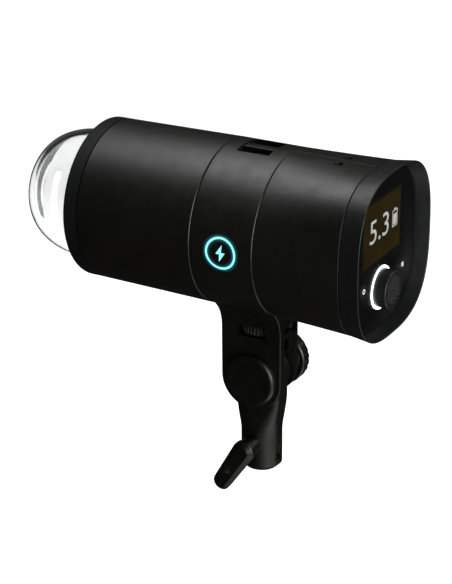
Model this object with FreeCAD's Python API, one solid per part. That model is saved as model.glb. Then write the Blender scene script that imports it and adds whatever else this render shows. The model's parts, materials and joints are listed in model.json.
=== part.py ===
import FreeCAD, Part
import math
import os

# Battery monolight strobe on a tilting stand bracket. Millimetres.
# Origin: centre of the stand socket's mouth, on the adapter's bottom face. +Z is up,
# the light leaves towards -Y, the controls face +Y, and +X is the emblem side.

# Head
head_z = 160.3              # height of the head's axis
barrel_r = 50.0             # accessory collar radius, a 100 mm speed ring class
ring_r = 51.0               # middle ring radius
collar_y0, collar_y1 = -110.6, -101.0
ring_half = 20.7            # half length of the middle ring
seam_gap = 0.4
shell_wall = 2.0
bezel_y0, panel_y, bezel_y1 = 74.9, 79.0, 87.8
bezel_back = (48.0, 49.7)   # half width and half height where the bezel starts
bezel_rim = (49.6, 51.3)
panel_half = (46.3, 47.8)
squareness = 2.79           # superellipse exponent of the rear end
outline_points = 48

# Lamp end
dome_r, dome_mouth_y, dome_start_y, dome_length = 41.0, -106.0, -108.0, 50.0
dome_wall = 3.0
dome_roundness = 2.75
cup_r, cup_front_y, cup_wall, cup_corner = 35.3, -136.0, 2.0, 5.0
cup_slot = (-128.2, -123.4, 38.0)   # from, to, and half angle in degrees

# Casing halves and the two screws beside their top seam
half_gap = 0.2
screw_x, screw_y, screw_seat_z = 6.0, 53.4, head_z + 46.6

# Charging port's cover
port_y0, port_y1 = 36.0, 56.0
hinge_z, hinge_r = head_z - 13.2, 0.8

# Controls
dial_z = head_z - 23.8
dial_r, dial_face_y = 11.7, 87.5
light_ring_r = (11.95, 13.3)
button_x, button_z, button_r = 24.6, head_z - 17.6, 4.4
display_half_x, display_z0, display_z1 = 26.5, head_z - 7.0, head_z + 34.0
running_gap = 0.05

# Strap pocket on top of the middle ring
pocket_x, pocket_y, pocket_floor_z = 12.0, 10.7, head_z + 41.0
bar_half, bar_z = 3.0, head_z + 48.0

# Bracket
pivot_z = 64.4
cheek_out, cheek_in = 14.5, 9.5
near_half, far_half = 20.5, 17.5
neck_seam_z = 105.8
neck_fillet = 24.0
bolt_r = 4.0
tongue_half, tongue_r = 8.0, 15.3
umbrella_z, umbrella_r = 85.5, 4.1
block_half_y, block_top_z, wheel_roof_z = 16.5, 92.6, 99.9
wheel_r, wheel_z0, wheel_z1 = 13.0, 93.2, 99.3
pin_r = 3.0

# Adapter and stand lock
adapter_r, socket_r, sleeve_r, socket_depth = 12.9, 8.05, 9.6, 30.0
flare_z0, flare_z1 = 24.0, 52.0   # where the round foot turns into the tongue
lock_z, lever_angle, lever_length = 18.8, 238.0, 28.5
lever_x0, lever_x1 = 20.3, 27.3

# Tilt knob
knob_r, knob_x0, knob_x1, knob_ridges = 18.0, -21.6, -30.3, 24

# Battery and capacitors
cell_r, cell_length, cell_y = 9.1, 65.0, -12.0
capacitor_r, capacitor_length, capacitor_y = 16.0, 62.0, -95.0


def vec(x, y, z):
    return FreeCAD.Vector(x, y, z)


def box(x0, x1, y0, y1, z0, z1):
    return Part.makeBox(x1 - x0, y1 - y0, z1 - z0, vec(x0, y0, z0))


def rod_x(radius, x0, x1, y=0.0, z=pivot_z):
    return Part.makeCylinder(radius, abs(x1 - x0), vec(min(x0, x1), y, z), vec(1, 0, 0))


def rod_y(radius, y0, y1, x=0.0, z=head_z):
    return Part.makeCylinder(radius, abs(y1 - y0), vec(x, min(y0, y1), z), vec(0, 1, 0))


def rod_z(radius, z0, z1, x=0.0, y=0.0):
    return Part.makeCylinder(radius, abs(z1 - z0), vec(x, y, min(z0, z1)), vec(0, 0, 1))


def ring_y(outer, inner, y0, y1, x=0.0, z=head_z):
    return rod_y(outer, y0, y1, x, z).cut(rod_y(inner, y0 - 1, y1 + 1, x, z))


def face_of(points):
    return Part.Face(Part.makePolygon(points + [points[0]]))


def lathe_y(profile):
    # a closed profile of (y, radius) points turned about the head's axis
    face = face_of([vec(0, y, head_z + radius) for y, radius in profile])
    return face.revolve(vec(0, 0, head_z), vec(0, 1, 0), 360)


def lathe_x(profile, z=pivot_z):
    face = face_of([vec(x, 0, z + radius) for x, radius in profile])
    return face.revolve(vec(0, 0, z), vec(1, 0, 0), 360)


def superellipse(place, half_a, half_b, exponent):
    # a closed smooth outline, even in angle; place puts (a, b) in space
    points = []
    for i in range(outline_points):
        angle = 2 * math.pi * i / outline_points
        a, b = math.cos(angle), math.sin(angle)
        reach = (abs(a / half_a) ** exponent + abs(b / half_b) ** exponent) ** (-1 / exponent)
        points.append(place(a * reach, b * reach))
    curve = Part.BSplineCurve()
    curve.interpolate(Points=points, PeriodicFlag=True)
    return Part.Wire(curve.toShape())


def head_outline(y, half_x, half_z, exponent):
    return superellipse(lambda a, b: vec(a, y, head_z + b), half_x, half_z, exponent)


def head_loft(y0, half0, exponent0, y1, half1, exponent1):
    first = head_outline(y0, half0[0], half0[1], exponent0)
    last = head_outline(y1, half1[0], half1[1], exponent1)
    return Part.makeLoft([first, last], True, True)


def shrink(half, amount):
    return (half[0] - amount, half[1] - amount)


def around(shape, count, centre, axis, first=0.0):
    copies = []
    for i in range(count):
        copy = shape.copy()
        copy.rotate(centre, axis, first + 360.0 * i / count)
        copies.append(copy)
    return copies


def halves(shape):
    # the moulded casing parts at the head's middle plane: (-X half, +X half)
    return [shape.cut(box(low, high, -200, 200, 0, 300)) for low, high in ((-half_gap, 80), (-80, half_gap))]


def group(shapes):
    return Part.makeCompound(shapes)


def save(name, shape):
    if not shape.isValid():
        print("NOT VALID", name)
    shape.exportStep("parts/" + name + ".step")
    print(name, len(shape.Solids), round(shape.Volume / 1000, 2), "cm3")


# Lamp end

def front_collar():
    sleeve = ring_y(barrel_r, 47.0, collar_y0, collar_y1)
    lip = ring_y(barrel_r, 42.6, collar_y0, collar_y0 + 3.0)
    body = sleeve.fuse(lip).removeSplitter()
    rim = [e for e in body.Edges if abs(e.BoundBox.YMin - collar_y0) < 0.01
           and abs(e.BoundBox.XMax - barrel_r) < 0.01 and e.BoundBox.YLength < 0.01]
    return body.makeFillet(1.6, rim)


def front_barrel():
    back_y = -ring_half - seam_gap
    return halves(lathe_y([
        (-107.4, 44.9), (-107.4, 46.9), (-100.6, 46.9), (-100.6, barrel_r - 0.4),
        (-100.2, barrel_r), (back_y - 0.5, ring_r), (back_y, ring_r - 0.5),
        (back_y, ring_r - shell_wall - 0.5), (-97.0, barrel_r - shell_wall), (-99.0, 44.9)]))


def dome_profile(radius, length):
    # quarter superellipse from the mouth to the tip, as a smooth curve
    steps = 12
    points = []
    for i in range(steps + 1):
        angle = 0.5 * math.pi * i / steps
        along = math.sin(angle) ** (2 / dome_roundness)
        out = math.cos(angle) ** (2 / dome_roundness)
        points.append(vec(0, dome_start_y - length * along, head_z + radius * out))
    curve = Part.BSplineCurve()
    curve.interpolate(Points=points)
    return curve.toShape()


def dome_solid(radius, length):
    tip = vec(0, dome_start_y - length, head_z)
    mouth_axis = vec(0, dome_mouth_y, head_z)
    mouth = vec(0, dome_mouth_y, head_z + radius)
    start = vec(0, dome_start_y, head_z + radius)
    wire = Part.Wire([Part.makeLine(mouth_axis, mouth), Part.makeLine(mouth, start),
                      dome_profile(radius, length), Part.makeLine(tip, mouth_axis)])
    return Part.Face(wire).revolve(vec(0, 0, head_z), vec(0, 1, 0), 360)


def glass_dome():
    outer = dome_solid(dome_r, dome_length)
    return outer.cut(dome_solid(dome_r - dome_wall, dome_length - dome_wall))


def soft_front(solid, y, radius):
    # rounds the outer edge of a turned solid's end at y
    edges = [e for e in solid.Edges if abs(e.BoundBox.YMin - y) < 0.01 and e.BoundBox.YLength < 0.01]
    return solid.makeFillet(radius, edges)


def emitter_cup():
    inner_y = cup_front_y + cup_wall
    cup = soft_front(rod_y(cup_r, cup_front_y, dome_mouth_y), cup_front_y, cup_corner)
    bowl = rod_y(cup_r - cup_wall, inner_y, dome_mouth_y + 1)
    cup = cup.cut(soft_front(bowl, inner_y, cup_corner - cup_wall))
    cup = cup.cut(rod_y(11.0, cup_front_y - 1, cup_front_y + cup_wall + 1))
    for side in (-1, 1):
        cup = cup.cut(rod_y(3.9, cup_front_y - 1, cup_front_y + cup_wall + 1, 0, head_z + side * 20.0))
    slot_y0, slot_y1, half_angle = cup_slot
    height = cup_r * math.sin(math.radians(half_angle))
    slot_mid = 0.5 * (slot_y0 + slot_y1)
    end_r = 0.5 * (slot_y1 - slot_y0)
    slot = box(-60, 60, slot_y0, slot_y1, head_z - height + end_r, head_z + height - end_r)
    for side in (-1, 1):
        slot = slot.fuse(rod_x(end_r, -60, 60, slot_mid, head_z + side * (height - end_r)))
    return cup.cut(slot)


def reflector_plate():
    plate = ring_y(44.7, 15.0, dome_mouth_y + 0.1, dome_mouth_y + 2.6)
    return plate


def flash_tube():
    # two half rings of quartz with a leg at top and bottom
    tube_r, mean_r, centre_y = 3.4, 20.0, -143.0
    ring = Part.makeTorus(mean_r, tube_r, vec(0, centre_y, head_z), vec(0, 1, 0))
    for side in (-1, 1):
        leg = rod_y(tube_r, centre_y, -121.0, 0, head_z + side * mean_r)
        ring = ring.fuse(leg)
    return ring


def modelling_led():
    board = box(-9.5, 9.5, -136.2, -134.6, head_z - 9.5, head_z + 9.5)
    board = board.common(rod_y(10.8, -137, -134))
    return board.fuse(rod_y(7.5, -137.6, -136.2)).fuse(rod_y(10.8, -134.6, -133.4))


def led_heat_sink():
    sink = rod_y(15.5, -133.4, -129.0)
    for i in range(-2, 3):
        sink = sink.fuse(box(-12.0, 12.0, -129.0, -112.0, head_z + 4.4 * i - 0.9, head_z + 4.4 * i + 0.9))
    return sink


def tube_socket():
    body = ring_y(33.0, 24.5, -120.8, -114.0)
    bridge = box(-6, 6, -120.8, -114.0, head_z - 26, head_z + 26)
    bridge = bridge.cut(box(-20, 20, -122, -113, head_z - 14, head_z + 14))
    return body.fuse(bridge).removeSplitter()


# Middle ring, neck and bracket

def neck_profile(low_z):
    # section across the neck: concave flanks that run into the ring and down the cheeks
    centre_x = cheek_out + neck_fillet
    bite_r = ring_r - 0.3
    drop = math.sqrt((bite_r + neck_fillet) ** 2 - centre_x ** 2)
    centre_z = head_z - drop
    share = bite_r / (bite_r + neck_fillet)
    top_x, top_z = centre_x * share, head_z - drop * share
    mid = math.atan2(top_z - centre_z, top_x - centre_x)
    mid = 0.5 * (mid + math.pi)
    mid_x = centre_x + neck_fillet * math.cos(mid)
    mid_z = centre_z + neck_fillet * math.sin(mid)
    high = head_z - 40.0
    edges = [Part.makeLine(vec(top_x, 0, high), vec(-top_x, 0, high)),
             Part.makeLine(vec(-cheek_out, 0, low_z), vec(cheek_out, 0, low_z))]
    for side in (1, -1):
        low = vec(side * cheek_out, 0, centre_z)
        top = vec(side * top_x, 0, top_z)
        edges.append(Part.makeLine(vec(side * cheek_out, 0, low_z), low))
        edges.append(Part.Arc(low, vec(side * mid_x, 0, mid_z), top).toShape())
        edges.append(Part.makeLine(top, vec(side * top_x, 0, high)))
    return Part.Face(Part.Wire(Part.__sortEdges__(edges)))


def neck_bar():
    face = neck_profile(pivot_z - near_half - 5)
    face.translate(vec(0, -near_half, 0))
    return face.extrude(vec(0, 2 * near_half, 0))


def strap_pocket():
    return box(-pocket_x, pocket_x, -pocket_y, pocket_y, pocket_floor_z, head_z + 60)


def yoke_ring():
    inner = ring_r - 3.0
    ring = lathe_y([
        (-ring_half, inner), (-ring_half, ring_r - 0.5), (-ring_half + 0.5, ring_r),
        (ring_half - 0.5, ring_r), (ring_half, ring_r - 0.5), (ring_half, inner)])
    flange = ring_y(inner, 41.0, -ring_half, -ring_half + 3.0)
    neck = neck_bar().common(box(-60, 60, -30, 30, neck_seam_z + 0.2, head_z))
    flanks = [edge for edge in neck.Edges if abs(edge.CenterOfMass.y) > near_half - 0.01
              and edge.BoundBox.ZLength > 0.01]
    neck = neck.makeFillet(0.8, flanks)
    neck = neck.cut(rod_y(inner, -30, 30))
    tub = box(-pocket_x - 2, pocket_x + 2, -pocket_y - 2, pocket_y + 2, pocket_floor_z - 2, head_z + 60)
    tub = tub.common(rod_y(ring_r - 0.5, -30, 30))
    body = ring.fuse([flange, neck, tub]).cut(strap_pocket())
    body = body.cut(emblem_block(0.1, 2.0))
    body = body.cut(rod_z(4.0, neck_seam_z - 5, head_z - 40))
    for x in (-11.0, 11.0):
        body = body.cut(rod_z(1.55, neck_seam_z - 1, neck_seam_z + 7, x, -14.8))
        body = body.cut(rod_z(1.55, neck_seam_z - 1, neck_seam_z + 7, x, 14.8))
    for screw in ring_screw_spots():
        body = body.cut(rod_y(1.6, -30, -10, screw[0], screw[1]))
    return body.removeSplitter()


def ring_screw_spots():
    spots = []
    for degrees in (40, 140, 220, 320):
        angle = math.radians(degrees)
        spots.append((44.5 * math.cos(angle), head_z + 44.5 * math.sin(angle)))
    return spots


def emblem_block(gap, depth):
    half = 11.3 + gap
    block = box(40, 60, -half, half, head_z - half, head_z + half)
    return block.common(ring_y(ring_r + 1, ring_r - depth, -30, 30))


def emblem_window():
    return emblem_block(0.0, 1.9).common(rod_y(ring_r - 0.02, -30, 30))


def strap_bar():
    bar = box(-bar_half, bar_half, -pocket_y, pocket_y, bar_z, head_z + 60)
    return bar.common(rod_y(ring_r - 0.9, -30, 30))


def cheek_outline(x0, x1, half):
    upright = box(x0, x1, -half, half, pivot_z, neck_seam_z)
    return upright.fuse(rod_x(half, x0, x1)).removeSplitter()


def tilt_bracket():
    body = neck_bar().common(cheek_outline(0, 30, near_half).fuse(cheek_outline(-30, 0, far_half)))
    body = soft_cheeks(body, 0.8)
    # the block's flat underside stays clear of the adapter's shoulders at full tilt
    body = body.cut(box(-cheek_in, cheek_in, -30, 30, 20, pivot_z + tongue_r + 0.35))
    for side in (-1, 1):
        outside = sorted((side * block_half_y, side * 30))
        body = body.cut(box(-cheek_in, cheek_in, outside[0], outside[1], pivot_z - 1, wheel_roof_z))
    body = body.cut(box(-30, 30, -9.9, 9.9, block_top_z, wheel_roof_z))
    body = body.cut(box(-cheek_in, cheek_in, -30, 30, block_top_z, wheel_roof_z))
    body = body.cut(rod_y(umbrella_r, -30, 30, 0, umbrella_z))
    body = body.cut(rod_z(pin_r + running_gap, umbrella_z, neck_seam_z - 1.5))
    body = body.cut(rod_x(bolt_r + running_gap, -30, 30))
    body = body.cut(hex_prism(7.0, 10.9, 20.0))
    for x in (-11.0, 11.0):
        for y in (-14.8, 14.8):
            body = body.cut(rod_z(1.7, wheel_roof_z - 4, neck_seam_z + 1, x, y))
            body = body.cut(rod_z(2.9, wheel_roof_z - 9, wheel_roof_z + 2.5, x, y))
    return body.removeSplitter()


def soft_cheeks(body, radius):
    # rounds the outline of both cheeks along their outer faces
    outline = []
    for edge in body.Edges:
        middle = edge.valueAt((edge.FirstParameter + edge.LastParameter) / 2)
        across = edge.BoundBox.ZLength < 0.01
        if abs(middle.x) > cheek_out - 0.01 and not across:
            outline.append(edge)
    return body.makeFillet(radius, outline)


def hex_prism(radius, x0, x1):
    corners = []
    for i in range(6):
        angle = math.radians(60 * i)
        corners.append(vec(x0, radius * math.cos(angle), pivot_z + radius * math.sin(angle)))
    return face_of(corners).extrude(vec(x1 - x0, 0, 0))


def bracket_screws():
    screws = []
    for x in (-11.0, 11.0):
        for y in (-14.8, 14.8):
            head = rod_z(2.75, wheel_roof_z - 0.3, wheel_roof_z + 2.5, x, y)
            screws.append(head.fuse(rod_z(1.5, wheel_roof_z + 2.5, neck_seam_z + 6.5, x, y)))
    return group(screws)


def tilt_bolt():
    head = hex_prism(6.9, 10.95, 14.3)
    return head.fuse(rod_x(bolt_r, -27.0, 11.5))


def pivot_cap():
    return lathe_x([
        (cheek_out, 0), (cheek_out, 17.3), (cheek_out + 1.4, 17.3), (cheek_out + 2.3, 16.9),
        (cheek_out + 2.9, 16.0), (cheek_out + 3.2, 14.6), (cheek_out + 3.5, 8.0), (cheek_out + 3.6, 0)])


def umbrella_wheel():
    wheel = rod_z(wheel_r, wheel_z0, wheel_z1).cut(rod_z(pin_r + running_gap, 80, 110))
    groove = rod_z(0.75, wheel_z0 + 0.6, wheel_z1 - 0.6, wheel_r + 0.25)
    return wheel.cut(group(around(groove, 36, vec(0, 0, 0), vec(0, 0, 1))))


def umbrella_pin():
    return rod_z(pin_r, umbrella_z + umbrella_r + 0.3, wheel_roof_z + 2.5)


# Adapter and stand lock

def adapter_section(z, share):
    # round at share 0, a flat-sided tongue at share 1
    skin = adapter_r - 0.05
    half_x = skin + share * (tongue_half - 0.05 - skin)
    half_y = skin + share ** 1.5 * (tongue_r - skin)
    exponent = 2.0 + 3.5 * share
    return superellipse(lambda a, b: vec(a, b, z), half_x, half_y, exponent)


def stand_adapter():
    foot = Part.makeCone(adapter_r - 2.6, adapter_r, 2.6).fuse(rod_z(adapter_r, 2.6, flare_z0))
    sections = [adapter_section(flare_z0 - 4, 0)]
    steps = 8
    for i in range(steps + 1):
        share = 0.5 - 0.5 * math.cos(math.pi * i / steps)
        sections.append(adapter_section(flare_z0 + (flare_z1 - flare_z0) * i / steps, share))
    sections.append(adapter_section(pivot_z, 1))
    flare = Part.makeLoft(sections, True, True)
    body = foot.fuse([flare, rod_x(tongue_r, -tongue_half, tongue_half)])
    body = body.fuse(rod_x(5.4, 9.0, 14.2, 0, lock_z))
    body = body.cut(rod_z(sleeve_r, -1, socket_depth + 1.5))
    body = body.cut(rod_x(bolt_r + running_gap, -30, 30))
    body = body.cut(rod_x(4.0, 0, 12.6, 0, lock_z))
    body = body.cut(rod_x(pin_r + running_gap, 0, 20, 0, lock_z))
    return body.cut(box(-4.5, 4.5, 5.0, 20.0, 6.0, 16.5)).removeSplitter()


def socket_sleeve():
    sleeve = rod_z(sleeve_r, 0, socket_depth + 1.5).cut(rod_z(socket_r, -1, socket_depth))
    return sleeve.cut(rod_x(4.0, 0, 12.6, 0, lock_z))


def friction_washers():
    washer = rod_x(13.0, tongue_half, cheek_in).cut(rod_x(bolt_r + 0.3, 0, 20))
    other = washer.mirror(vec(0, 0, 0), vec(1, 0, 0))
    return group([washer, other])


def lock_pad():
    return rod_x(3.9, 8.3, 11.0, 0, lock_z)


def lock_screw():
    return rod_x(pin_r, 11.05, 21.5, 0, lock_z)


def lock_lever():
    angle = math.radians(lever_angle)
    tip_y = lever_length * math.cos(angle)
    tip_z = lock_z + lever_length * math.sin(angle)
    hub = rod_x(6.2, 14.6, lever_x0 + 2, 0, lock_z)
    layers = []
    for x, root_r, end_r in ((lever_x0, 5.4, 4.2), (lever_x0 + 1.8, 7.2, 5.8),
                             (lever_x1 - 2.4, 7.2, 5.8), (lever_x1, 4.2, 3.4)):
        layers.append(paddle_outline(x, root_r, end_r, tip_y, tip_z, angle))
    body = Part.makeLoft(layers, True, True).fuse(hub)
    body = body.cut(rod_x(1.6, lever_x1 - 1.2, lever_x1 + 5, 0.62 * tip_y, lock_z + 0.62 * (tip_z - lock_z)))
    return body.cut(rod_x(pin_r, 10, 21.5, 0, lock_z)).removeSplitter()


def paddle_outline(x, root_r, end_r, tip_y, tip_z, angle):
    # two round ends joined by straight flanks, in the plane at x
    side = vec(0, -math.sin(angle), math.cos(angle))
    back = vec(0, -math.cos(angle), -math.sin(angle))
    root = vec(x, 0, lock_z)
    tip = vec(x, tip_y, tip_z)
    edges = [
        Part.Arc(root + side * root_r, root + back * root_r, root - side * root_r).toShape(),
        Part.makeLine(root - side * root_r, tip - side * end_r),
        Part.Arc(tip - side * end_r, tip - back * end_r, tip + side * end_r).toShape(),
        Part.makeLine(tip + side * end_r, root + side * root_r)]
    return Part.Wire(edges)


def lever_screw():
    angle = math.radians(lever_angle)
    y = 0.62 * lever_length * math.cos(angle)
    z = lock_z + 0.62 * lever_length * math.sin(angle)
    return rod_x(1.5, lever_x1 - 1.2, lever_x1 - 0.3, y, z)


# Tilt knob

def tilt_knob():
    face_in, face_out = knob_x0, knob_x1
    profile = [
        (-16.0, 7.0), (-16.0, 10.5), (face_in + 0.4, 10.5), (face_in - 1.6, 14.8), (face_in, 15.6),
        (face_in, knob_r - 0.8), (face_in - 0.8, knob_r), (face_out + 1.2, knob_r),
        (face_out, knob_r - 1.2), (face_out, 0), (-28.4, 0), (-28.4, 7.0)]
    knob = lathe_x(profile)
    groove = rod_x(1.15, face_in - 0.9, face_out - 1, 0, pivot_z + knob_r + 0.35)
    return knob.cut(group(around(groove, knob_ridges, vec(0, 0, pivot_z), vec(1, 0, 0))))


def knob_insert():
    return rod_x(7.0, -16.0, -28.4).cut(rod_x(bolt_r + running_gap, -40, 0))


def knob_washer():
    return rod_x(9.0, -14.55, -15.95).cut(rod_x(bolt_r + running_gap, -40, 0))


# Rear end

def shell_skin(depth):
    front_y = ring_half + seam_gap
    return head_loft(front_y, shrink((ring_r, ring_r), depth), 2.0,
                     bezel_y0 - seam_gap, shrink(bezel_back, depth), squareness)


def rear_shell():
    front_y = ring_half + seam_gap
    outer = shell_skin(0)
    inner = head_loft(front_y - 1, shrink((ring_r, ring_r), shell_wall), 2.0,
                      bezel_y0 + 1, shrink(bezel_back, shell_wall), squareness)
    body = outer.cut(inner)
    for y in range(30, 66, 6):
        body = body.cut(box(-12, 12, y, y + 2.4, head_z - 60, head_z - 40))
    # a round recess lets the cover's lower edge roll past the shell
    first, last = port_hinge()
    along = (last - first).normalize()
    recess = Part.makeCylinder(hinge_r + 1.7, port_y1 - port_y0, first - along * (first.y - port_y0), along)
    body = body.cut(recess).cut(port_opening(0.2))
    for x in (-screw_x, screw_x):
        body = body.fuse(rod_z(4.1, head_z + 43, head_z + 48.8, x, screw_y))
        body = body.cut(rod_z(2.6, screw_seat_z, head_z + 60, x, screw_y))
        body = body.cut(rod_z(1.05, head_z + 42, head_z + 47, x, screw_y))
    return halves(body.removeSplitter())


def port_opening(gap):
    return box(-60, -40, port_y0 - gap, port_y1 + gap, head_z - 14 - gap, head_z - 2 + gap)


def port_hinge():
    # the cover's round lower edge follows the shell's taper just under its skin
    skin = shell_skin(0)
    ends = []
    for y in (port_y0 + 0.4, port_y1 - 0.4):
        ray = Part.makeLine(vec(-60, y, hinge_z), vec(0, y, hinge_z))
        ends.append(vec(skin.common(ray).BoundBox.XMin + hinge_r, y, hinge_z))
    return ends


def port_cover():
    cover = shell_skin(0).cut(shell_skin(2 * hinge_r)).common(port_opening(0.0))
    cover = cover.cut(box(-60, -40, 30, 60, head_z - 20, hinge_z))
    first, last = port_hinge()
    return cover.fuse(Part.makeCylinder(hinge_r, (last - first).Length, first, last - first))


def charge_socket():
    # a USB-C receptacle, its slot facing the cover
    body = box(-46.5, -38.7, 41.0, 51.0, head_z - 10.0, head_z - 6.0)
    return body.cut(box(-47, -39.5, 41.6, 50.4, head_z - 9.3, head_z - 6.7))


def shell_screws():
    # recessed socket screws either side of the top seam
    screws = []
    for x in (-screw_x, screw_x):
        head = rod_z(2.4, screw_seat_z, screw_seat_z + 1.8, x, screw_y)
        head = head.cut(rod_z(1.2, screw_seat_z + 0.8, screw_seat_z + 2, x, screw_y))
        screws.append(head.fuse(rod_z(1.0, head_z + 43.4, screw_seat_z, x, screw_y)))
    return group(screws)


def rear_bezel():
    outer = head_loft(bezel_y0, bezel_back, squareness, bezel_y1, bezel_rim, squareness)
    flare = head_loft(panel_y, panel_half, squareness, bezel_y1 + 0.2, shrink(bezel_rim, 0.9), squareness)
    seat = head_loft(panel_y - 2.5, panel_half, squareness, panel_y + 0.1, panel_half, squareness)
    well = head_loft(bezel_y0 - 1, shrink(panel_half, 2.2), squareness,
                     panel_y, shrink(panel_half, 2.2), squareness)
    return outer.cut(flare).cut(seat).cut(well)


def control_panel():
    half = shrink(panel_half, 0.15)
    panel = head_loft(panel_y - 2.5, half, squareness, panel_y, half, squareness)
    panel = panel.cut(box(-display_half_x, display_half_x, 70, 90, display_z0, display_z1))
    panel = panel.cut(rod_y(light_ring_r[1] + 0.05, 70, 90, 0, dial_z))
    for x in (-button_x, button_x):
        panel = panel.cut(rod_y(button_r + 0.15, 70, 90, x, button_z))
    return panel


def display_window():
    gap = 0.1
    return box(-display_half_x + gap, display_half_x - gap, panel_y - 2.4, panel_y - 0.1,
               display_z0 + gap, display_z1 - gap)


def display_module():
    return box(-28.5, 28.5, 70.0, 76.4, display_z0 - 1.5, display_z1 + 1.5)


def dial_light_ring():
    return ring_y(light_ring_r[1], light_ring_r[0], panel_y - 2.4, panel_y + 0.5, 0, dial_z)


def dial_knob():
    knob = rod_y(dial_r, panel_y - 2.0, dial_face_y, 0, dial_z)
    knob = soft_front(knob, dial_face_y, 0.8)
    knob = knob.cut(rod_y(9.6, dial_face_y - 0.9, dial_face_y + 1, 0, dial_z))
    return knob.cut(rod_y(3.0, 60, 84.5, 0, dial_z))


def dial_grip():
    return rod_y(9.5, dial_face_y - 0.9, dial_face_y - 0.2, 0, dial_z)


def encoder_shaft():
    return rod_y(3.0, 70.0, 84.5, 0, dial_z)


def encoder_plunger():
    return rod_y(2.8, 67.7, 69.95, 0, dial_z)


def encoder_body():
    body = box(-6.5, 6.5, 66.0, 73.5, dial_z - 6.5, dial_z + 6.5)
    return body.cut(rod_y(3.0 + running_gap, 66.8, 80, 0, dial_z))


def push_button(x, face_y):
    return rod_y(button_r, 75.2, face_y, x, button_z).fuse(rod_y(5.8, 75.0, 76.2, x, button_z))


def button_switches():
    return group([box(x - 3, x + 3, 66.0, 74.2, button_z - 3, button_z + 3) for x in (-button_x, button_x)])


# Inside the head

def capacitors():
    return group(around(rod_y(capacitor_r, capacitor_y, capacitor_y + capacitor_length, 0, head_z + 25.5),
                        4, vec(0, 0, head_z), vec(0, 1, 0), 45))


def battery_cells():
    cells = []
    for row in (-1, 1):
        for column in (-1.5, -0.5, 0.5, 1.5):
            cells.append(rod_y(cell_r, cell_y, cell_y + cell_length, column * 19.0, head_z + row * 10.0))
    return group(cells)


def cell_holders():
    holders = []
    for y in (cell_y + 3.0, cell_y + cell_length - 8.0):
        plate = box(-38.5, 38.5, y, y + 5.0, head_z - 20.5, head_z + 20.5)
        for row in (-1, 1):
            for column in (-1.5, -0.5, 0.5, 1.5):
                plate = plate.cut(rod_y(cell_r + 0.05, y - 1, y + 6, column * 19.0, head_z + row * 10.0))
        holders.append(plate)
    return group(holders)


def bulkhead():
    plate = ring_y(47.6, 9.0, -23.8, -21.2)
    for spot in ring_screw_spots():
        plate = plate.cut(rod_y(1.6, -30, -10, spot[0], spot[1]))
    return plate


def bulkhead_screws():
    screws = []
    for spot in ring_screw_spots():
        head = rod_y(2.8, -26.0, -23.8, spot[0], spot[1])
        screws.append(head.fuse(rod_y(1.5, -23.8, -17.0, spot[0], spot[1])))
    return group(screws)


def flash_board():
    return ring_y(43.0, 8.0, -98.4, -96.8)


def power_board():
    return box(-33, 33, -15, 54, head_z - 28.5, head_z - 26.9)


def control_board():
    return box(-36, 36, 64.4, 66.0, head_z - 32, head_z + 34)


def fan_frame():
    frame = box(-21, 21, 54.2, 63.6, head_z - 21, head_z + 21).cut(rod_y(19.4, 50, 70))
    spokes = box(-20, 20, 54.2, 55.4, head_z - 1.2, head_z + 1.2)
    spokes = spokes.fuse(box(-1.2, 1.2, 54.2, 55.4, head_z - 20, head_z + 20))
    return frame.fuse(spokes).fuse(rod_y(7.0, 54.2, 55.4)).removeSplitter()


def fan_rotor():
    hub = rod_y(8.0, 55.8, 62.8)
    blade = box(-0.6, 0.6, 56.4, 62.2, head_z + 7.0, head_z + 18.8)
    blade.rotate(vec(0, 59.3, head_z), vec(0, 0, 1), 32)
    blade = blade.common(rod_y(18.9, 50, 70))
    return hub.fuse(around(blade, 7, vec(0, 0, head_z), vec(0, 1, 0))).removeSplitter()


NODES = {
    "front_collar": front_collar, "glass_dome": glass_dome,
    "emitter_cup": emitter_cup, "reflector_plate": reflector_plate, "flash_tube": flash_tube,
    "modelling_led": modelling_led, "led_heat_sink": led_heat_sink, "tube_socket": tube_socket,
    "yoke_ring": yoke_ring, "emblem_window": emblem_window, "strap_bar": strap_bar,
    "tilt_bracket": tilt_bracket, "bracket_screws": bracket_screws, "tilt_bolt": tilt_bolt,
    "pivot_cap": pivot_cap, "umbrella_wheel": umbrella_wheel, "umbrella_pin": umbrella_pin,
    "stand_adapter": stand_adapter, "socket_sleeve": socket_sleeve,
    "friction_washers": friction_washers, "lock_pad": lock_pad, "lock_screw": lock_screw,
    "lock_lever": lock_lever, "lever_screw": lever_screw, "tilt_knob": tilt_knob,
    "knob_insert": knob_insert, "knob_washer": knob_washer,
    "port_cover": port_cover, "charge_socket": charge_socket, "shell_screws": shell_screws,
    "rear_bezel": rear_bezel, "control_panel": control_panel, "display_window": display_window,
    "display_module": display_module, "dial_light_ring": dial_light_ring, "dial_knob": dial_knob,
    "dial_grip": dial_grip, "encoder_shaft": encoder_shaft, "encoder_plunger": encoder_plunger,
    "encoder_body": encoder_body, "button_switches": button_switches, "capacitors": capacitors,
    "battery_cells": battery_cells, "cell_holders": cell_holders, "bulkhead": bulkhead,
    "bulkhead_screws": bulkhead_screws, "flash_board": flash_board, "power_board": power_board,
    "control_board": control_board, "fan_frame": fan_frame, "fan_rotor": fan_rotor,
}

os.makedirs("parts", exist_ok=True)
for name, make in NODES.items():
    save(name, make())
save("power_button", push_button(button_x, 79.8))
save("menu_button", push_button(-button_x, 81.4))
for name, make in (("front_barrel", front_barrel), ("rear_shell", rear_shell)):
    left, right = make()
    save(name + "_left", left)
    save(name + "_right", right)
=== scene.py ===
import json
import math

import bmesh
import bpy
from mathutils import Matrix, Vector

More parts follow.
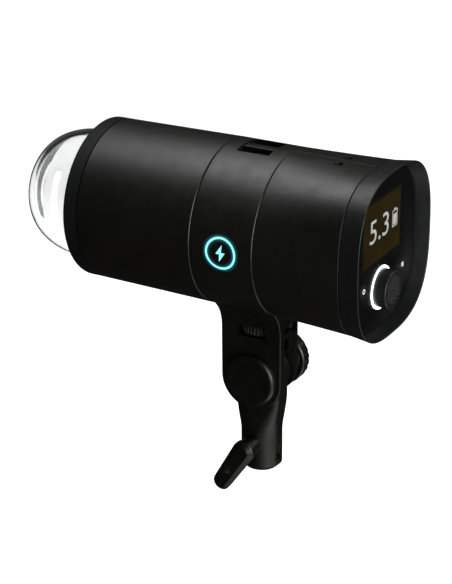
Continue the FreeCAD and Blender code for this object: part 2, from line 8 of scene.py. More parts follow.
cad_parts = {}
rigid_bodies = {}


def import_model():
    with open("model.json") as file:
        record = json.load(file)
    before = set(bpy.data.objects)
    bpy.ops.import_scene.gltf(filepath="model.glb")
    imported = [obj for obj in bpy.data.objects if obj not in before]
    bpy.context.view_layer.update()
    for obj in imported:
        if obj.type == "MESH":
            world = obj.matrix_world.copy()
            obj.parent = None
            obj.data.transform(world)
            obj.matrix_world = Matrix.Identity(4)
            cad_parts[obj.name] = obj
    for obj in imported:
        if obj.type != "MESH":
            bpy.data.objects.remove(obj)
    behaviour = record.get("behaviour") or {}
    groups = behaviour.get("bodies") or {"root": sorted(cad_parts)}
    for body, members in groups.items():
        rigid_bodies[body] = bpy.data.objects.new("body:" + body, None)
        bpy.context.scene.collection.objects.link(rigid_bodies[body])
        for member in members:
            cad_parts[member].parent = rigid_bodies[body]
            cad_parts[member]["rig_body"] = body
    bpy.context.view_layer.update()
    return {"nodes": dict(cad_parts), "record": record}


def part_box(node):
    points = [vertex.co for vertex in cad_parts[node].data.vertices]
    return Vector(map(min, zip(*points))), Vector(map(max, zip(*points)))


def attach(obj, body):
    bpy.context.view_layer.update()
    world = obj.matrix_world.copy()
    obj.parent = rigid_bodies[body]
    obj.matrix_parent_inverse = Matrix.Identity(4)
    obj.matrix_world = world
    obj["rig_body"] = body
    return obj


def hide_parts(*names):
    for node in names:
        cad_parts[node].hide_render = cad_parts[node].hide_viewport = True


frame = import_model()
mm = 0.001


def middle(node):
    low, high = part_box(node)
    return (low + high) / 2


headZ = middle("front_collar").z       # height of the head's axis
print("frame loaded")


def newMaterial(name):
    material = bpy.data.materials.new(name)
    material.use_nodes = True
    nodes = material.node_tree.nodes
    return material, nodes, material.node_tree.links, nodes["Principled BSDF"]


def place(nodes, links, stretch=(1, 1, 1)):
    # object coordinates; a pattern is finer along an axis with a larger stretch
    coords = nodes.new("ShaderNodeTexCoord")
    mapping = nodes.new("ShaderNodeMapping")
    mapping.inputs["Scale"].default_value = stretch
    links.new(coords.outputs["Object"], mapping.inputs["Vector"])
    return mapping.outputs["Vector"]


def noise(nodes, links, vector, scale, detail=3.0, rough=0.55):
    node = nodes.new("ShaderNodeTexNoise")
    node.inputs["Scale"].default_value = scale
    node.inputs["Detail"].default_value = detail
    node.inputs["Roughness"].default_value = rough
    links.new(vector, node.inputs["Vector"])
    return node.outputs["Fac"]


def ramp(nodes, links, value, low, high, start=0.35, end=0.65):
    # colour from low to high
    node = nodes.new("ShaderNodeValToRGB")
    node.color_ramp.elements[0].position = start
    node.color_ramp.elements[1].position = end
    node.color_ramp.elements[0].color = (*low, 1)
    node.color_ramp.elements[1].color = (*high, 1)
    links.new(value, node.inputs["Fac"])
    return node.outputs["Color"]


def spread(nodes, links, value, low, high, start=0.3, end=0.7):
    # number from low to high
    node = nodes.new("ShaderNodeMapRange")
    for key, number in zip(("From Min", "From Max", "To Min", "To Max"), (start, end, low, high)):
        node.inputs[key].default_value = number
    links.new(value, node.inputs["Value"])
    return node.outputs["Result"]


def bump(nodes, links, height, strength, depth):
    node = nodes.new("ShaderNodeBump")
    node.inputs["Strength"].default_value = strength
    node.inputs["Distance"].default_value = depth
    links.new(height, node.inputs["Height"])
    return node.outputs["Normal"]


# mouldings: broad clouds of colour from dark to light, smaller patches of roughness, fine grain as bump;
# level is the gloss; the white cup's emission is painted light, standing in for the studio light it takes in
# through the dome
finishes = {
    "satin_black": dict(dark=(0.0008, 0.0007, 0.0005), light=(0.0017, 0.0015, 0.0011), rough=(0.42, 0.49),
                        clouds=14, grain=2400, grainDepth=0.00003, strength=0.25, level=0.5),
    "bezel_black": dict(dark=(0.0012, 0.0014, 0.0018), light=(0.0022, 0.0026, 0.0033), rough=(0.42, 0.5),
                        clouds=18, grain=3000, grainDepth=0.00004, strength=0.3, level=0.5),
    "collar_rubber": dict(dark=(0.0014, 0.0015, 0.0017), light=(0.0026, 0.0028, 0.0031), rough=(0.58, 0.68),
                          clouds=30, grain=1800, grainDepth=0.00006, strength=0.4, level=0.2),
    "panel_black": dict(dark=(0.0006, 0.0006, 0.0007), light=(0.0011, 0.0011, 0.0012), rough=(0.3, 0.38),
                        clouds=20, grain=3200, grainDepth=0.00002, strength=0.15, level=0.35),
    "bracket_nylon": dict(dark=(0.0006, 0.0005, 0.0003), light=(0.0016, 0.0015, 0.0010), rough=(0.34, 0.44),
                          clouds=60, grain=2600, grainDepth=0.00009, strength=0.5, level=0.5),
    "dial_black": dict(dark=(0.0040, 0.0040, 0.0042), light=(0.0065, 0.0065, 0.0067), rough=(0.36, 0.44),
                       clouds=40, grain=2800, grainDepth=0.00003, strength=0.3, level=0.5),
    "button_black": dict(dark=(0.0045, 0.0045, 0.0047), light=(0.0075, 0.0075, 0.0077), rough=(0.4, 0.48),
                         clouds=60, grain=3000, grainDepth=0.00003, strength=0.3, level=0.5),
    "inner_black": dict(dark=(0.006, 0.006, 0.006), light=(0.010, 0.010, 0.010), rough=(0.55, 0.7),
                        clouds=25, grain=1500, grainDepth=0.00006, strength=0.4, level=0.3),
    "cell_wrap": dict(dark=(0.012, 0.06, 0.16), light=(0.02, 0.085, 0.21), rough=(0.28, 0.36),
                      clouds=30, grain=900, grainDepth=0.00003, strength=0.2, level=0.5),
    "can_sleeve": dict(dark=(0.012, 0.014, 0.02), light=(0.02, 0.022, 0.03), rough=(0.3, 0.4),
                       clouds=30, grain=900, grainDepth=0.00004, strength=0.25, level=0.5),
    # painted light: the white cup glows as if lit through the dome
    "cup_white": dict(dark=(0.80, 0.80, 0.795), light=(0.86, 0.86, 0.855), rough=(0.5, 0.6),
                      clouds=30, grain=1600, grainDepth=0.00004, strength=0.25, level=0.5, glow=0.6),
    "ceramic": dict(dark=(0.72, 0.70, 0.66), light=(0.80, 0.78, 0.74), rough=(0.35, 0.45),
                    clouds=50, grain=2200, grainDepth=0.00006, strength=0.4, level=0.5),
    "fibre": dict(dark=(0.10, 0.055, 0.03), light=(0.17, 0.10, 0.06), rough=(0.7, 0.8),
                  clouds=220, grain=2600, grainDepth=0.0001, strength=0.7, level=0.3),
}
patchScale = 9          # how many roughness patches go across one cloud
windowGlass = dict(dark=(0.0020, 0.0018, 0.0016), light=(0.0032, 0.0030, 0.0026), rough=(0.14, 0.2),
                   clouds=80, grain=2000, grainDepth=0.00001, strength=0.1, level=0.5)


def moulded(slotName, look):
    material, nodes, links, shader = newMaterial(slotName)
    here = place(nodes, links)
    clouds = noise(nodes, links, here, look["clouds"])
    links.new(ramp(nodes, links, clouds, look["dark"], look["light"]), shader.inputs["Base Color"])
    patches = noise(nodes, links, here, look["clouds"] * patchScale)
    links.new(spread(nodes, links, patches, *look["rough"]), shader.inputs["Roughness"])
    grain = noise(nodes, links, here, look["grain"], detail=2.0)
    links.new(bump(nodes, links, grain, look["strength"], look["grainDepth"]), shader.inputs["Normal"])
    shader.inputs["Specular IOR Level"].default_value = look["level"]
    shader.inputs["Emission Color"].default_value = (1, 1, 1, 1)
    # painted light, where a finish has any
    shader.inputs["Emission Strength"].default_value = look.get("glow", 0)
    return material, nodes, links, shader


toolLines = dict(scale=260, detail=4.0, rough=0.65, strength=0.3, depth=0.00003)
metals = {
    "brass": dict(dark=(0.48, 0.31, 0.11), light=(0.62, 0.43, 0.18),
                  rough=(0.22, 0.36), stretch=(1, 1, 14)),
    "steel": dict(dark=(0.42, 0.42, 0.43), light=(0.56, 0.56, 0.57),
                  rough=(0.2, 0.34), stretch=(14, 1, 1)),
    "aluminium": dict(dark=(0.62, 0.62, 0.63), light=(0.74, 0.74, 0.75),
                      rough=(0.3, 0.42), stretch=(1, 14, 1)),
}


def turned(slotName, look):
    # fine tool lines, as a lathe or a file leaves them
    material, nodes, links, shader = newMaterial(slotName)
    here = place(nodes, links, look["stretch"])
    lines = noise(nodes, links, here, toolLines["scale"], toolLines["detail"], toolLines["rough"])
    links.new(ramp(nodes, links, lines, look["dark"], look["light"]), shader.inputs["Base Color"])
    links.new(spread(nodes, links, lines, *look["rough"]), shader.inputs["Roughness"])
    cut = bump(nodes, links, lines, toolLines["strength"], toolLines["depth"])
    links.new(cut, shader.inputs["Normal"])
    shader.inputs["Metallic"].default_value = 1.0
    return material


glassWave = dict(scale=22, strength=0.12)
clear = {
    "clear_glass": dict(color=(0.985, 0.99, 0.99), rough=(0.0, 0.015), ior=1.47, wave=0.00012),
    "quartz": dict(color=(0.98, 0.98, 0.96), rough=(0.0, 0.04), ior=1.46, wave=0.0002),
}


def glassy(slotName, look):
    # faint waves, as in blown or drawn glass
    material, nodes, links, shader = newMaterial(slotName)
    here = place(nodes, links)
    drift = noise(nodes, links, here, glassWave["scale"], detail=1.0)
    links.new(spread(nodes, links, drift, *look["rough"]), shader.inputs["Roughness"])
    links.new(bump(nodes, links, drift, glassWave["strength"], look["wave"]), shader.inputs["Normal"])
    shader.inputs["Base Color"].default_value = (*look["color"], 1)
    shader.inputs["IOR"].default_value = look["ior"]
    shader.inputs["Transmission Weight"].default_value = 1.0
    return material


copper = dict(mortar=0.06, rough=(0.3, 0.45), strength=0.3, depth=0.00004)     # tracks between the pads
boards = {
    "board_green": dict(ground=(0.008, 0.05, 0.02), trace=(0.02, 0.11, 0.045), pitch=420),
    "led_board": dict(ground=(0.74, 0.66, 0.30), trace=(0.84, 0.80, 0.62), pitch=700),
}


def printedBoard(slotName, look):
    material, nodes, links, shader = newMaterial(slotName)
    here = place(nodes, links)
    traces = nodes.new("ShaderNodeTexBrick")
    traces.inputs["Scale"].default_value = look["pitch"]
    traces.inputs["Mortar Size"].default_value = copper["mortar"]
    links.new(here, traces.inputs["Vector"])
    traces.inputs["Color1"].default_value = (*look["ground"], 1)
    traces.inputs["Color2"].default_value = (*look["ground"], 1)
    traces.inputs["Mortar"].default_value = (*look["trace"], 1)
    links.new(traces.outputs["Color"], shader.inputs["Base Color"])
    tracks = traces.outputs["Fac"]
    links.new(spread(nodes, links, tracks, *copper["rough"], 0, 1), shader.inputs["Roughness"])
    links.new(bump(nodes, links, tracks, copper["strength"], copper["depth"]), shader.inputs["Normal"])
    return material


litRough = 0.35
lights = {
    "ring_light": dict(color=(0.93, 0.97, 1.0), body=(0.85, 0.87, 0.88), strength=(1.6, 3.2), clouds=60),
    "markGlow": dict(color=(0.20, 0.84, 0.92), body=(0.12, 0.45, 0.5), strength=(0.72, 0.98), clouds=90),
    "digitGlow": dict(color=(0.80, 0.88, 0.84), body=(0.10, 0.11, 0.10), strength=(0.31, 0.38), clouds=140),
    # the icons are ink given emission: a painted glow
    "iconInk": dict(color=(0.86, 0.86, 0.84), body=(0.75, 0.76, 0.74), strength=(0.45, 0.6), clouds=300),
}


def glowing(slotName, look):
    # a lit translucent moulding, a little uneven; on the icons' ink the glow is painted light
    material, nodes, links, shader = newMaterial(slotName)
    here = place(nodes, links)
    clouds = noise(nodes, links, here, look["clouds"])
    shaded = [c * 0.9 for c in look["body"]]
    links.new(ramp(nodes, links, clouds, shaded, look["body"]), shader.inputs["Base Color"])
    links.new(spread(nodes, links, clouds, *look["strength"]), shader.inputs["Emission Strength"])
    shader.inputs["Emission Color"].default_value = (*look["color"], 1)
    shader.inputs["Roughness"].default_value = litRough
    return material


def distanceFrom(nodes, links, centre, flat):
    # metres from a point, measured square to the flattened axis
    here = place(nodes, links, flat)
    length = nodes.new("ShaderNodeVectorMath")
    length.operation = "DISTANCE"
    length.inputs[1].default_value = [c * f for c, f in zip(centre, flat)]
    links.new(here, length.inputs[0])
    return length.outputs["Value"]


# millimetres; the bolt's corners are (across Y, up Z) from the middle of the ring
# the halo is a painted glow on the black inlay around the lit ring
emblem = dict(halo=(0.06, 0.50, 0.58), haloStrength=0.2, haloStart=0.4, haloReach=2.6,
              ringRadius=9.4, ringWidth=1.25, thickness=0.12, steps=96,
              bolt=[(0.9, 5.2), (-3.0, -0.5), (-0.5, -0.5), (-0.9, -5.2), (3.0, 0.5), (0.5, 0.5)])


def emblemInlay():
    # black inlay with a painted glow: a faint halo of emission beside the lit ring, standing in for its
    # spill of light
    material, nodes, links, shader = moulded("emblem_light", finishes["satin_black"])
    away = distanceFrom(nodes, links, (0, 0, headZ), flat=(0, 1, 1))
    off = nodes.new("ShaderNodeMath")
    off.operation = "SUBTRACT"
    off.inputs[1].default_value = emblem["ringRadius"] * mm
    links.new(away, off.inputs[0])
    size = nodes.new("ShaderNodeMath")
    size.operation = "ABSOLUTE"
    links.new(off.outputs[0], size.inputs[0])
    # painted glow, fading with the distance from the ring
    glow = spread(nodes, links, size.outputs[0], emblem["haloStrength"], 0,
                  emblem["haloStart"] * mm, emblem["haloReach"] * mm)
    links.new(glow, shader.inputs["Emission Strength"])
    shader.inputs["Emission Color"].default_value = (*emblem["halo"], 1)
    return material


screen = dict(width=49.0, height=36.8, centreZ=13.5, corner=0.6,
              dim=(0.0085, 0.0050, 0.0002), bright=(0.0165, 0.0098, 0.0003), clouds=45,
              unlit=((0.0020, 0.0015, 0.0006), (0.0030, 0.0022, 0.0008)), rough=0.28,
              weave=5200, flicker=(0.85, 1.15))


def screenLit():
    # backlight in broad soft clouds, behind a fine weave of dots
    material, nodes, links, shader = newMaterial("screenLit")
    here = place(nodes, links)
    clouds = noise(nodes, links, here, screen["clouds"], detail=2.0)
    links.new(ramp(nodes, links, clouds, screen["dim"], screen["bright"]), shader.inputs["Emission Color"])
    weave = noise(nodes, links, here, screen["weave"], detail=1.0)
    links.new(spread(nodes, links, weave, *screen["flicker"]), shader.inputs["Emission Strength"])
    links.new(ramp(nodes, links, weave, *screen["unlit"]), shader.inputs["Base Color"])
    shader.inputs["Roughness"].default_value = screen["rough"]
    return material


materials = {}
for slotName, look in finishes.items():
    materials[slotName] = moulded(slotName, look)[0]
for slotName, look in metals.items():
    materials[slotName] = turned(slotName, look)
for slotName, look in clear.items():
    materials[slotName] = glassy(slotName, look)
for slotName, look in boards.items():
    materials[slotName] = printedBoard(slotName, look)
for slotName, look in lights.items():
    materials[slotName] = glowing(slotName, look)
materials["emblem_light"] = emblemInlay()
materials["display_glass"] = moulded("display_glass", windowGlass)[0]
materials["screenLit"] = screenLit()
print("materials ready:", len(materials))

slotOf = {part["node"]: part["material_slot"] for part in frame["record"]["subparts"]}
bodyOf = {name: node["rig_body"] for name, node in frame["nodes"].items()}


def addPiece(name, mesh, body, slotName, finish=None, sharp=32):
    piece = bpy.data.objects.new(name, mesh)
    bpy.context.scene.collection.objects.link(piece)
    mesh.materials.clear()
    mesh.materials.append(materials[finish or slotName])
    mesh.shade_smooth()
    mesh.set_sharp_from_angle(angle=math.radians(sharp))
    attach(piece, body)
    return piece


def pieceFrom(name, bm, body, slotName, finish=None, sharp=32):
    bmesh.ops.recalc_face_normals(bm, faces=bm.faces)
    mesh = bpy.data.meshes.new(name)
    bm.to_mesh(mesh)
    bm.free()
    return addPiece(name, mesh, body, slotName, finish, sharp)


# pieces whose CAD shape is right: merged and shaded smooth, with the width in millimetres of the
# softened edge, or 0 where it stays as it is
edgeSoftness = {
    "front_barrel_left": 0.35, "front_barrel_right": 0.35, "yoke_ring": 0.45,
    "rear_shell_left": 0.2, "rear_shell_right": 0.2, "rear_bezel": 0.35, "front_collar": 0,
    "strap_bar": 0.35, "emblem_window": 0, "port_cover": 0,
    "tilt_bracket": 0.3, "tilt_knob": 0.3, "umbrella_wheel": 0.2, "stand_adapter": 0.3,
    "lock_lever": 0.5, "socket_sleeve": 0,
    "dial_knob": 0.2, "dial_light_ring": 0, "menu_button": 0.3, "power_button": 0.3,
    "emitter_cup": 0, "flash_tube": 0, "tube_socket": 0,
}
softEdge = dict(segments=2, fromAngle=38, mergeWithin=0.002)


def camel(node):
    first, *rest = node.split("_")
    return first + "".join(word.title() for word in rest)


def smoothCopy(node, softness):
    bm = bmesh.new()
    bm.from_mesh(frame["nodes"][node].data)
    bmesh.ops.remove_doubles(bm, verts=bm.verts, dist=softEdge["mergeWithin"] * mm)
    mesh = bpy.data.meshes.new(camel(node))
    bm.to_mesh(mesh)
    bm.free()
    piece = addPiece(camel(node), mesh, bodyOf[node], slotOf[node])
    if softness:
        soften = piece.modifiers.new("Soft edges", "BEVEL")
        soften.width = softness * mm
        soften.segments = softEdge["segments"]
        soften.limit_method = "ANGLE"
        soften.angle_limit = math.radians(softEdge["fromAngle"])
    even = piece.modifiers.new("Even shading", "WEIGHTED_NORMAL")
    even.keep_sharp = True
    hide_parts(node)


for node, holder in frame["nodes"].items():
    holder.data.materials.clear()
    holder.data.materials.append(materials[slotOf[node]])
for node in frame["nodes"]:
    if node in edgeSoftness:
        smoothCopy(node, edgeSoftness[node])
print("casing, bracket and adapter in")


# millimetres along the head's axis; a power over 2 makes the dome's end blunter than an ellipse
dome = dict(outer=41.0, wall=3.0, mouth=-106.0, start=-108.0, length=50.0, power=2.75, steps=28, turns=96)


def domeLine(radius, length):
    # (along, radius) points from the mouth to the tip
    line = [(dome["mouth"], radius)]
    for i in range(dome["steps"] + 1):
        angle = 0.5 * math.pi * i / dome["steps"]
        along = math.sin(angle) ** (2 / dome["power"])
        out = math.cos(angle) ** (2 / dome["power"])
        if i == dome["steps"]:
            out = 0.0                  # the tip closes on the axis
        line.append((dome["start"] - length * along, radius * out))
    return line


def spun(line, axisPoint, axis, across, turns):
    # turns a line of (along, radius) points, in millimetres, about an axis
    bm = bmesh.new()
    verts = [bm.verts.new(Vector(axisPoint) + (Vector(axis) * along + Vector(across) * radius) * mm)
             for along, radius in line]
    for first, second in zip(verts, verts[1:]):
        bm.edges.new((first, second))
    bmesh.ops.spin(bm, geom=bm.verts[:] + bm.edges[:], cent=axisPoint, axis=axis,
                   angle=2 * math.pi, steps=turns, use_merge=True)
    bmesh.ops.remove_doubles(bm, verts=bm.verts, dist=0.000001)
    return bm


headAxis = (0, 0, headZ)
outside = domeLine(dome["outer"], dome["length"])
inside = domeLine(dome["outer"] - dome["wall"], dome["length"] - dome["wall"])
bm = spun(outside[::-1] + inside, headAxis, (0, 1, 0), (0, 0, 1), dome["turns"])
glassDome = pieceFrom("glassDome", bm, bodyOf["glass_dome"], "clear_glass", sharp=50)
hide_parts("glass_dome")
print("dome in")


def plate(bm, centreX, centreZ, width, height, corner, y0, y1, steps=5):
    # rectangle with rounded corners, facing the back of the head
    points = []
    for index, (sx, sz) in enumerate(((1, 1), (-1, 1), (-1, -1), (1, -1))):
        for i in range(steps + 1):
            angle = math.radians(90 * index + 90 * i / steps)
            points.append((centreX + sx * (width / 2 - corner) + corner * math.cos(angle),
                           centreZ + sz * (height / 2 - corner) + corner * math.sin(angle)))
    raised(bm, points, y0, y1)


def raised(bm, points, y0, y1):
    # outline of (x, z) points, thickened from y0 to y1
    verts = [bm.verts.new((x * mm, y0 * mm, z * mm)) for x, z in points]
    face = bm.faces.new(verts)
    lifted = bmesh.ops.extrude_face_region(bm, geom=[face])
    moved = [item for item in lifted["geom"] if isinstance(item, bmesh.types.BMVert)]
    bmesh.ops.translate(bm, verts=moved, vec=(0, (y1 - y0) * mm, 0))


def arcBand(bm, centreX, centreZ, radius, width, start, end, y0, y1, steps=40):
    # band along an arc, from a start to an end angle in degrees
    outer, inner = [], []
    for i in range(steps + 1):
        angle = math.radians(start + (end - start) * i / steps)
        for rim, reach in ((outer, radius + width / 2), (inner, radius - width / 2)):
            rim.append((centreX + reach * math.cos(angle), centreZ + reach * math.sin(angle)))
    for i in range(steps):
        raised(bm, [outer[i], outer[i + 1], inner[i + 1], inner[i]], y0, y1)
    bmesh.ops.remove_doubles(bm, verts=bm.verts, dist=0.0000005)


head = bodyOf["display_window"]
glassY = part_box("display_window")[1].y / mm      # outer face of the display's window
headMm = headZ / mm
layer = 0.03                                     # thickness of the screen and of what it shows
screenFront = glassY + layer
bm = bmesh.new()
plate(bm, 0, headMm + screen["centreZ"], screen["width"], screen["height"], screen["corner"],
      glassY, screenFront)
pieceFrom("displayScreen", bm, head, "display_glass", "screenLit")

reading = dict(text="5.3", left=16.3, right=-8.8, bottom=7.5, top=21.7, weight=-0.002, size=10, lift=0.01)


def displayDigits():
    # plain digits, stretched to their place and mirrored so that they read from behind
    curve = bpy.data.curves.new("displayDigits", "FONT")
    curve.body = reading["text"]
    curve.size = reading["size"]
    curve.offset = reading["weight"] * reading["size"]
    curve.extrude = 0.5
    holder = bpy.data.objects.new("digitsHolder", curve)
    bpy.context.scene.collection.objects.link(holder)
    bpy.context.view_layer.update()
    mesh = bpy.data.meshes.new_from_object(holder.evaluated_get(bpy.context.evaluated_depsgraph_get()))
    bpy.data.objects.remove(holder)
    xs = [v.co.x for v in mesh.vertices]
    ys = [v.co.y for v in mesh.vertices]
    wide = (reading["left"] - reading["right"]) / (max(xs) - min(xs))
    tall = (reading["top"] - reading["bottom"]) / (max(ys) - min(ys))
    for v in mesh.vertices:
        x = reading["left"] - (v.co.x - min(xs)) * wide
        z = headMm + reading["bottom"] + (v.co.y - min(ys)) * tall
        v.co = Vector((x, screenFront + reading["lift"] + layer * v.co.z, z)) * mm
    addPiece("displayDigits", mesh, head, "display_glass", "digitGlow")


displayDigits()

battery = dict(x=-17.3, z=13.9, width=7.0, height=10.4, border=0.7, gap=0.5, corner=0.3,
               nub=(2.8, 1.0), nubGap=0.1, spent=1.2, fillCorner=0.2)
bm = bmesh.new()
border, centreZ = battery["border"], headMm + battery["z"]
depth = (screenFront, screenFront + layer)
for side in (-1, 1):
    plate(bm, battery["x"] + side * (battery["width"] - border) / 2, centreZ,
          border, battery["height"], battery["corner"], *depth)
    plate(bm, battery["x"], centreZ + side * (battery["height"] - border) / 2,
          battery["width"] - 2 * border + 0.02, border, 0.02, *depth)       # meets both sides
around = 2 * (border + battery["gap"])
plate(bm, battery["x"], centreZ - battery["spent"] / 2, battery["width"] - around,
      battery["height"] - around - battery["spent"], battery["fillCorner"], *depth)
plate(bm, battery["x"], centreZ + battery["height"] / 2 + battery["nub"][1] / 2 + battery["nubGap"],
      *battery["nub"], battery["corner"], *depth)
pieceFrom("batteryMark", bm, head, "display_glass", "digitGlow")

icons = dict(stroke=0.42, corner=0.1, thickness=0.03, ringRadius=1.3, ringStart=125, ringEnd=415,
             barHeight=1.5, barUp=1.0, rowWidth=2.2, rowLeft=0.4, rowPitch=1.0, dotWidth=0.45, dotRight=1.4)
bm = bmesh.new()
power = middle("power_button") / mm
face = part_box("power_button")[1].y / mm
depth = (face, face + icons["thickness"])
arcBand(bm, power.x, power.z, icons["ringRadius"], icons["stroke"],
        icons["ringStart"], icons["ringEnd"], *depth)
plate(bm, power.x, power.z + icons["barUp"], icons["stroke"], icons["barHeight"], icons["corner"], *depth, 2)
pieceFrom("powerMark", bm, bodyOf["power_button"], "button_black", "iconInk")

bm = bmesh.new()
menu = middle("menu_button") / mm
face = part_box("menu_button")[1].y / mm
depth = (face, face + icons["thickness"])
for row in (-1, 0, 1):
    rowZ = menu.z + row * icons["rowPitch"]
    plate(bm, menu.x - icons["rowLeft"], rowZ, icons["rowWidth"], icons["stroke"], icons["corner"],
          *depth, 2)
    plate(bm, menu.x + icons["dotRight"], rowZ, icons["dotWidth"], icons["stroke"], icons["corner"],
          *depth, 2)
pieceFrom("menuMark", bm, bodyOf["menu_button"], "button_black", "iconInk")

dots = dict(pitch=1.9, radius=0.6, taper=0.7, height=0.3, reach=8.6, sides=12)
rowSpacing = 0.866         # of the pitch, for rows of dots nested in each other
gripZ = middle("dial_grip").z / mm
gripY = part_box("dial_grip")[1].y / mm
bm = bmesh.new()
count = int(dots["reach"] / dots["pitch"]) + 2
for row in range(-count, count + 1):
    for column in range(-count, count + 1):
        x = (column + 0.5 * (row % 2)) * dots["pitch"]
        z = row * dots["pitch"] * rowSpacing
        if math.hypot(x, z) <= dots["reach"]:
            centre = Vector((x, gripY + dots["height"] / 2, gripZ + z)) * mm
            spot = Matrix.Translation(centre) @ Matrix.Rotation(math.pi / 2, 4, "X")
            bmesh.ops.create_cone(bm, cap_ends=True, segments=dots["sides"], matrix=spot,
                                  radius1=dots["radius"] * dots["taper"] * mm,
                                  radius2=dots["radius"] * mm, depth=dots["height"] * mm)
pieceFrom("dialDots", bm, bodyOf["dial_grip"], "dial_black", sharp=40)
print("display, dial and button marks in")

# made flat, then wrapped round the skin of the inlay
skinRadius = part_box("emblem_window")[1].x
bm = bmesh.new()
arcBand(bm, 0, 0, emblem["ringRadius"], emblem["ringWidth"], 0, 360, 0, emblem["thickness"], emblem["steps"])
raised(bm, emblem["bolt"], 0, emblem["thickness"])
bmesh.ops.triangulate(bm, faces=[f for f in bm.faces if len(f.verts) > 4])
bmesh.ops.subdivide_edges(bm, edges=bm.edges[:], cuts=1)
for v in bm.verts:
    y, rise, z = v.co.x, v.co.y, v.co.z
    radius = skinRadius + rise
    v.co = (math.sqrt(radius ** 2 - z ** 2), y, headZ + z)
pieceFrom("emblemMark", bm, bodyOf["emblem_window"], "emblem_light", "markGlow", sharp=40)
print("emblem in")

# millimetres from the head's mid plane; the face is dished by a shallow ramp inside the round edge
cap = dict(base=14.5, height=3.55, radius=17.3, edge=2.9, dish=0.55, rampShare=3,
           edgeSteps=10, faceSteps=8, turns=96)
capLine = [(cap["base"], 0.0), (cap["base"], cap["radius"])]
for i in range(cap["edgeSteps"] + 1):
    angle = math.radians(90 * i / cap["edgeSteps"])
    capLine.append((cap["base"] + cap["height"] - cap["edge"] + cap["edge"] * math.sin(angle),
                    cap["radius"] - cap["edge"] + cap["edge"] * math.cos(angle)))
for i in range(1, cap["faceSteps"] + 1):
    share = i / cap["faceSteps"]
    drop = cap["dish"] * (0.5 - 0.5 * math.cos(math.pi * min(1, share * cap["rampShare"])))
    capLine.append((cap["base"] + cap["height"] - drop, (cap["radius"] - cap["edge"]) * (1 - share)))
bm = spun(capLine, (0, 0, middle("pivot_cap").z), (1, 0, 0), (0, 0, 1), cap["turns"])
pivotCap = pieceFrom("pivotCap", bm, bodyOf["pivot_cap"], "bracket_nylon", sharp=40)
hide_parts("pivot_cap")
print("pivot cap in")


def backdrop(name, matrix, finish, look):
    # flat sheet of matt paper or cloth
    bm = bmesh.new()
    bmesh.ops.create_grid(bm, x_segments=look["cells"], y_segments=look["cells"], size=look["half"])
    bmesh.ops.transform(bm, verts=bm.verts, matrix=matrix)
    mesh = bpy.data.meshes.new(name)
    bm.to_mesh(mesh)
    bm.free()
    sheet = bpy.data.objects.new(name, mesh)
    bpy.context.scene.collection.objects.link(sheet)
    material, nodes, links, shader = newMaterial(finish)
    weave = noise(nodes, links, place(nodes, links), look["weave"])
    shaded = [c * look["shade"] for c in look["color"]]
    links.new(ramp(nodes, links, weave, shaded, look["color"]), shader.inputs["Base Color"])
    shader.inputs["Roughness"].default_value = look["rough"]
    shader.inputs["Specular IOR Level"].default_value = look["level"]
    mesh.materials.append(material)
    return sheet


paleFloor = dict(z=-0.28, half=9.0, cells=2, color=(0.9, 0.9, 0.9), shade=0.985, weave=3.0,
                 rough=0.9, level=0.1)
floor = backdrop("floor", Matrix.Translation((0, 0, paleFloor["z"])), "floorPale", paleFloor)
floor.visible_glossy = False            # the black casing mirrors the dim studio instead

# dark sheet on the far side of the dome, turned towards the head: painted shade, standing in for the unlit
# studio seen in the glass
paintedShade = dict(at=(-0.62, -0.60, -0.16), half=0.21, cells=1, color=(0.05, 0.055, 0.065), shade=0.8, weave=40.0,
            rough=0.9, level=0.5)
headMiddle = Vector((0, 0, headZ))
aside = Vector(paintedShade["at"])
facing = aside.to_track_quat("Z", "Y").to_matrix().to_4x4()
darkFlag = backdrop("darkFlag", Matrix.Translation(headMiddle + aside) @ facing, "flagCloth", paintedShade)
darkFlag.visible_camera = False         # seen only through and in the glass
darkFlag.visible_shadow = False
darkFlag.visible_diffuse = False

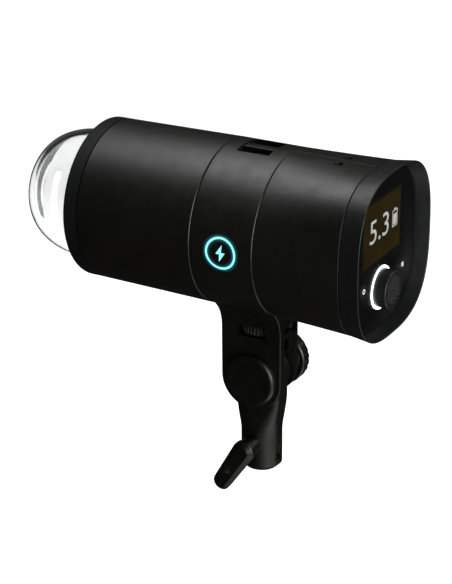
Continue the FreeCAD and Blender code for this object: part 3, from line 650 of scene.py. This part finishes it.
# white all round, but dim to a mirror, so that the black casing stays black between the softboxes
studio = dict(white=(1.0, 1.0, 1.0), whiteStrength=1.14, mirror=(0.17, 0.165, 0.14), mirrorStrength=0.12)
world = bpy.data.worlds.new("studio")
bpy.context.scene.world = world
world.use_nodes = True
nodes, links = world.node_tree.nodes, world.node_tree.links
pale = nodes["Background"]
pale.inputs["Color"].default_value = (*studio["white"], 1)
pale.inputs["Strength"].default_value = studio["whiteStrength"]
dim = nodes.new("ShaderNodeBackground")
dim.inputs["Color"].default_value = (*studio["mirror"], 1)
dim.inputs["Strength"].default_value = studio["mirrorStrength"]
rays = nodes.new("ShaderNodeLightPath")
blend = nodes.new("ShaderNodeMixShader")
links.new(rays.outputs["Is Glossy Ray"], blend.inputs["Fac"])
links.new(pale.outputs["Background"], blend.inputs[1])
links.new(dim.outputs["Background"], blend.inputs[2])
links.new(blend.outputs["Shader"], nodes["World Output"].inputs["Surface"])

# aim is the way from the head to the box; metres and watts
softboxes = {
    "keyTop": dict(aim=(-0.06, -0.27, 0.87), distance=1.15, size=(0.8, 0.62), power=10.5),
    "rimBack": dict(aim=(-0.55, 0.75, 0.55), distance=1.3, size=(0.5, 0.7), power=4.0),
    "edgeStrip": dict(aim=(0.46, 0.84, 0.14), distance=1.1, size=(0.36, 0.8), power=11.0),
    "floorBounce": dict(aim=(0.1, 0.5, -0.86), distance=0.48, size=(0.4, 0.3), power=0.5),
    "lowFill": dict(aim=(0.78, 0.54, -0.28), distance=1.0, size=(0.5, 0.2), power=0.7),
}
for name, box in softboxes.items():
    light = bpy.data.lights.new(name, "AREA")
    light.shape = "RECTANGLE"
    light.size, light.size_y = box["size"]
    light.energy = box["power"]
    holder = bpy.data.objects.new(name, light)
    away = Vector(box["aim"]).normalized()
    holder.location = headMiddle + away * box["distance"]
    holder.rotation_euler = away.to_track_quat("Z", "Y").to_euler()
    holder.visible_camera = False
    bpy.context.scene.collection.objects.link(holder)

# metres; look points into the scene and right to the right of it
view = dict(
    location=(0.9344, 0.5083, 0.5703), look=(-0.79893, -0.45625, -0.39186),
    right=(-0.49359, 0.86968, -0.00626), lens=117.1, sensor=36.0, near=0.01,
)
cameraData = bpy.data.cameras.new("camera")
cameraData.lens = view["lens"]
cameraData.sensor_width = view["sensor"]
cameraData.clip_start = view["near"]
camera = bpy.data.objects.new("camera", cameraData)
back = -Vector(view["look"]).normalized()
right = Vector(view["right"]).normalized()
up = back.cross(right)
camera.matrix_world = Matrix.Translation(view["location"]) @ Matrix((right, up, back)).transposed().to_4x4()
bpy.context.scene.collection.objects.link(camera)
bpy.context.scene.camera = camera
bpy.context.scene.view_settings.view_transform = "Standard"
print("studio ready")
